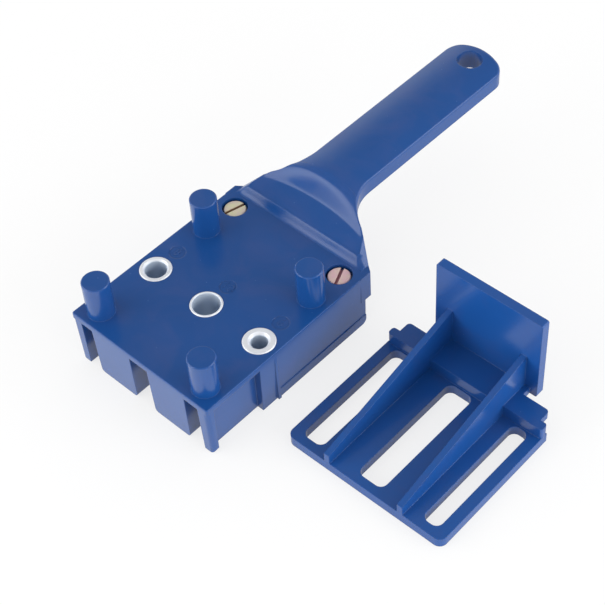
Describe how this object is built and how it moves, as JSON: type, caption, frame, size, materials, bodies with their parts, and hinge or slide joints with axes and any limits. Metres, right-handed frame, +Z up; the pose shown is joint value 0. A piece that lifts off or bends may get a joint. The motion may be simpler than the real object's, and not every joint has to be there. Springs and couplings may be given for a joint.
{
  "type": "dowel drill guide",
  "caption": "Hand-held plastic drill guide: steel-bushed box with centring pegs, sight gaps and a long handle, with its slotted fence lying beside it.",
  "frame": {"origin": "lower mouth of the 10 mm bushing, on the sole of the guide; the sole and the fence's underside lie at z = 0", "axes": "+X along the row of bushings towards the 6 mm one, +Y from the bushings towards the handle's end, +Z up along the bushings"},
  "size_m": [0.1503, 0.1864, 0.0432],
  "materials": {
    "blue_plastic": "moulded, semi-gloss",
    "bright_steel": "turned, bright",
    "yellow_zinc_steel": "zinc plated, yellow passivated"
  },
  "bodies": {
    "guide": {"guide_body": "blue_plastic", "bushing_8mm": "bright_steel", "bushing_10mm": "bright_steel", "bushing_6mm": "bright_steel", "fence": "blue_plastic"},
    "screw_left": {"clamp_screw_left": "yellow_zinc_steel"},
    "nut_left": {"clamp_nut_left": "yellow_zinc_steel"},
    "screw_right": {"clamp_screw_right": "yellow_zinc_steel"},
    "nut_right": {"clamp_nut_right": "yellow_zinc_steel"}
  },
  "joints": [
    {"name": "draw_nut_left", "type": "slide", "parent": "guide", "child": "nut_left", "axis": [0, 0, -1], "range_m": [0, 0.0016]},
    {"name": "turn_screw_left", "type": "hinge", "parent": "guide", "child": "screw_left", "pos_m": [-0.0259, 0.0406, 0.0203], "axis": [0, 0, 1], "range_deg": [0, 720.2]},
    {"name": "draw_nut_right", "type": "slide", "parent": "guide", "child": "nut_right", "axis": [0, 0, -1], "range_m": [0, 0.0016]},
    {"name": "turn_screw_right", "type": "hinge", "parent": "guide", "child": "screw_right", "pos_m": [0.0259, 0.0406, 0.0203], "axis": [0, 0, 1], "range_deg": [0, 720.2]}
  ],
  "couplings": [
    {"joint": "turn_screw_left", "follows": "draw_nut_left", "rad_per_m": 7854},
    {"joint": "turn_screw_right", "follows": "draw_nut_right", "rad_per_m": 7854}
  ]
}
